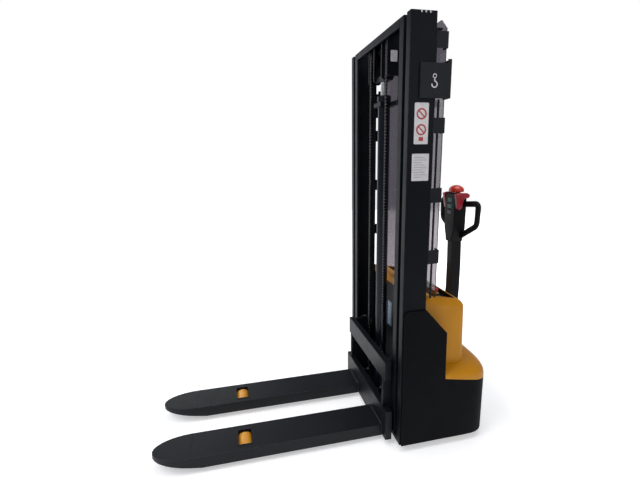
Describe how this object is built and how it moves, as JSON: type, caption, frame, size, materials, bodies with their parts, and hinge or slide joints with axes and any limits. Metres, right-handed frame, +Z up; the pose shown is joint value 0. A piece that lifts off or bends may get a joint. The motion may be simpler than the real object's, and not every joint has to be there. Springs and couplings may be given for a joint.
{
  "type": "walkie stacker",
  "caption": "Pedestrian electric pallet stacker: two-stage mast, chain lift, fork carriage over support legs, steered drive wheel and tiller.",
  "frame": {"origin": "middle of the truck's width and length, on the floor", "axes": "+Z up, forks point along -Y, driver at +Y, +X to the driver's left as the driver faces the forks"},
  "size_m": [0.8, 1.735, 2.04],
  "materials": {
    "frame_paint": "satin near-black paint",
    "cover_black": "fine-grained black plastic",
    "cover_yellow": "satin amber yellow",
    "panel_black": "matte",
    "clear_guard": "clear polycarbonate sheet",
    "cylinder_black": "gloss black paint",
    "polished_steel": "ground and polished",
    "chain_steel": "oiled",
    "bare_steel": "zinc plated",
    "cast_iron": "as cast",
    "pump_unit": "satin",
    "polyurethane": "amber polyurethane",
    "drive_tyre": "black tread",
    "battery_grey": "moulded case",
    "red_plastic": "moulded red",
    "crimson_plastic": "moulded crimson",
    "teal_plastic": "moulded",
    "grey_plastic": "moulded"
  },
  "bodies": {
    "chassis": {"base_frame": "frame_paint", "outer_mast_top_beam": "frame_paint", "rear_cover": "cover_yellow", "control_panel": "panel_black", "mast_guard": "clear_guard", "cylinder_barrel": "cylinder_black", "chain_anchor_bracket": "frame_paint", "hydraulic_power_unit": "pump_unit", "support_leg_left": "frame_paint", "support_leg_right": "frame_paint", "outer_mast_rail_left": "frame_paint", "outer_mast_rail_right": "frame_paint", "side_cover_left": "cover_black", "side_cover_right": "cover_black", "guard_bracket_left": "panel_black", "guard_bracket_right": "panel_black", "lifting_bracket_left": "frame_paint", "lifting_bracket_right": "frame_paint", "battery_left": "battery_grey", "battery_right": "battery_grey"},
    "inner_mast": {"inner_mast_top_beam": "frame_paint", "inner_mast_bottom_beam": "frame_paint", "lift_rod": "polished_steel", "crosshead": "frame_paint", "inner_mast_rail_left": "frame_paint", "inner_mast_rail_right": "frame_paint", "lift_chain_left": "chain_steel", "lift_chain_right": "chain_steel"},
    "carriage": {"carriage_frame": "frame_paint", "fork_left": "frame_paint", "fork_right": "frame_paint"},
    "drive_head": {"drive_gearbox": "cast_iron", "drive_motor": "cast_iron", "tiller_yoke": "cast_iron"},
    "drive_wheel": {"drive_wheel": "drive_tyre"},
    "tiller": {"tiller_arm": "cover_black", "handle_head": "cover_black", "handle_loop_left": "cover_black", "handle_loop_right": "cover_black"},
    "throttle": {"throttle": "crimson_plastic"},
    "belly_button": {"belly_button": "red_plastic"},
    "horn_button": {"horn_button": "teal_plastic"},
    "lift_button": {"lift_button": "teal_plastic"},
    "lower_button": {"lower_button": "grey_plastic"},
    "estop_button": {"estop_button": "red_plastic"},
    "key_switch": {"key_switch": "bare_steel"},
    "chain_pulley_left": {"chain_pulley_left": "bare_steel"},
    "mast_roller_left": {"mast_roller_left": "bare_steel"},
    "load_wheel_left": {"load_wheel_left": "polyurethane"},
    "caster_swivel_left": {"caster_fork_left": "bare_steel"},
    "caster_wheel_left": {"caster_wheel_left": "polyurethane"},
    "carriage_roller_lower_left": {"carriage_roller_lower_left": "bare_steel"},
    "carriage_roller_upper_left": {"carriage_roller_upper_left": "bare_steel"},
    "chain_pulley_right": {"chain_pulley_right": "bare_steel"},
    "mast_roller_right": {"mast_roller_right": "bare_steel"},
    "load_wheel_right": {"load_wheel_right": "polyurethane"},
    "caster_swivel_right": {"caster_fork_right": "bare_steel"},
    "caster_wheel_right": {"caster_wheel_right": "polyurethane"},
    "carriage_roller_lower_right": {"carriage_roller_lower_right": "bare_steel"},
    "carriage_roller_upper_right": {"carriage_roller_upper_right": "bare_steel"}
  },
  "joints": [
    {"name": "mast_lift", "type": "slide", "parent": "chassis", "child": "inner_mast", "axis": [0, 0, 1], "range_m": [0, 1.465]},
    {"name": "carriage_lift", "type": "slide", "parent": "inner_mast", "child": "carriage", "axis": [0, 0, 1], "range_m": [0, 1.465], "deforming": ["lift_chain_left", "lift_chain_right"]},
    {"name": "steer", "type": "hinge", "parent": "chassis", "child": "drive_head", "pos_m": [0, 0.7445, 0.105], "axis": [0, 0, 1], "range_deg": [-85, 85]},
    {"name": "tiller_tilt", "type": "hinge", "parent": "drive_head", "child": "tiller", "pos_m": [0, 0.8125, 0.48], "axis": [-1, 0, 0], "range_deg": [0, 75], "stiffness_Nm_per_rad": 36, "springref_deg": -2.86},
    {"name": "drive_wheel_spin", "type": "hinge", "parent": "drive_head", "child": "drive_wheel", "pos_m": [0, 0.7445, 0.105], "axis": [1, 0, 0], "continuous": true},
    {"name": "throttle_turn", "type": "hinge", "parent": "tiller", "child": "throttle", "pos_m": [0, 0.8175, 1.225], "axis": [1, 0, 0], "range_deg": [-20, 20], "stiffness_Nm_per_rad": 1.2},
    {"name": "belly_press", "type": "slide", "parent": "tiller", "child": "belly_button", "axis": [0, 0, -1], "range_m": [0, 0.006], "stiffness_N_per_m": 2500, "springref_m": -0.004},
    {"name": "estop_press", "type": "slide", "parent": "chassis", "child": "estop_button", "axis": [0, -0.1939, -0.981], "range_m": [0, 0.005]},
    {"name": "key_turn", "type": "hinge", "parent": "chassis", "child": "key_switch", "pos_m": [0.06, 0.62993, 0.76033], "axis": [0, 0.1939, 0.981], "range_deg": [0, 90]},
    {"name": "horn_press", "type": "slide", "parent": "tiller", "child": "horn_button", "axis": [0, 1, 0], "range_m": [0, 0.0025], "stiffness_N_per_m": 900, "springref_m": -0.002},
    {"name": "lift_press", "type": "slide", "parent": "tiller", "child": "lift_button", "axis": [0, 1, 0], "range_m": [0, 0.0025], "stiffness_N_per_m": 900, "springref_m": -0.002},
    {"name": "lower_press", "type": "slide", "parent": "tiller", "child": "lower_button", "axis": [0, 1, 0], "range_m": [0, 0.0025], "stiffness_N_per_m": 900, "springref_m": -0.002},
    {"name": "pulley_spin_left", "type": "hinge", "parent": "inner_mast", "child": "chain_pulley_left", "pos_m": [-0.105, 0.3825, 1.985], "axis": [-1, 0, 0], "range_deg": [0, 2523]},
    {"name": "mast_roller_spin_left", "type": "hinge", "parent": "inner_mast", "child": "mast_roller_left", "pos_m": [-0.3565, 0.3915, 0.112], "axis": [-1, 0, 0], "range_deg": [0, 1799]},
    {"name": "carriage_roller_spin_lower_left", "type": "hinge", "parent": "carriage", "child": "carriage_roller_lower_left", "pos_m": [-0.298, 0.3915, 0.134], "axis": [-1, 0, 0], "range_deg": [0, 1799]},
    {"name": "carriage_roller_spin_upper_left", "type": "hinge", "parent": "carriage", "child": "carriage_roller_upper_left", "pos_m": [-0.298, 0.3915, 0.408], "axis": [1, 0, 0], "range_deg": [0, 1799]},
    {"name": "load_wheel_spin_left", "type": "hinge", "parent": "chassis", "child": "load_wheel_left", "pos_m": [-0.195, -0.4235, 0.041], "axis": [1, 0, 0], "continuous": true},
    {"name": "caster_swivel_left", "type": "hinge", "parent": "chassis", "child": "caster_swivel_left", "pos_m": [-0.27, 0.7125, 0.06], "axis": [0, 0, 1], "continuous": true},
    {"name": "caster_spin_left", "type": "hinge", "parent": "caster_swivel_left", "child": "caster_wheel_left", "pos_m": [-0.27, 0.6775, 0.06], "axis": [1, 0, 0], "continuous": true},
    {"name": "pulley_spin_right", "type": "hinge", "parent": "inner_mast", "child": "chain_pulley_right", "pos_m": [0.105, 0.3825, 1.985], "axis": [-1, 0, 0], "range_deg": [0, 2523]},
    {"name": "mast_roller_spin_right", "type": "hinge", "parent": "inner_mast", "child": "mast_roller_right", "pos_m": [0.3565, 0.3915, 0.112], "axis": [-1, 0, 0], "range_deg": [0, 1799]},
    {"name": "carriage_roller_spin_lower_right", "type": "hinge", "parent": "carriage", "child": "carriage_roller_lower_right", "pos_m": [0.298, 0.3915, 0.134], "axis": [-1, 0, 0], "range_deg": [0, 1799]},
    {"name": "carriage_roller_spin_upper_right", "type": "hinge", "parent": "carriage", "child": "carriage_roller_upper_right", "pos_m": [0.298, 0.3915, 0.408], "axis": [1, 0, 0], "range_deg": [0, 1799]},
    {"name": "load_wheel_spin_right", "type": "hinge", "parent": "chassis", "child": "load_wheel_right", "pos_m": [0.195, -0.4235, 0.041], "axis": [1, 0, 0], "continuous": true},
    {"name": "caster_swivel_right", "type": "hinge", "parent": "chassis", "child": "caster_swivel_right", "pos_m": [0.27, 0.7125, 0.06], "axis": [0, 0, 1], "continuous": true},
    {"name": "caster_spin_right", "type": "hinge", "parent": "caster_swivel_right", "child": "caster_wheel_right", "pos_m": [0.27, 0.6775, 0.06], "axis": [1, 0, 0], "continuous": true}
  ],
  "couplings": [
    {"joint": "carriage_lift", "follows": "mast_lift", "ratio": 1},
    {"joint": "pulley_spin_left", "follows": "mast_lift", "rad_per_m": 30.03},
    {"joint": "mast_roller_spin_left", "follows": "mast_lift", "rad_per_m": 21.413},
    {"joint": "carriage_roller_spin_lower_left", "follows": "mast_lift", "rad_per_m": 21.413},
    {"joint": "carriage_roller_spin_upper_left", "follows": "mast_lift", "rad_per_m": 21.413},
    {"joint": "pulley_spin_right", "follows": "mast_lift", "rad_per_m": 30.03},
    {"joint": "mast_roller_spin_right", "follows": "mast_lift", "rad_per_m": 21.413},
    {"joint": "carriage_roller_spin_lower_right", "follows": "mast_lift", "rad_per_m": 21.413},
    {"joint": "carriage_roller_spin_upper_right", "follows": "mast_lift", "rad_per_m": 21.413}
  ]
}
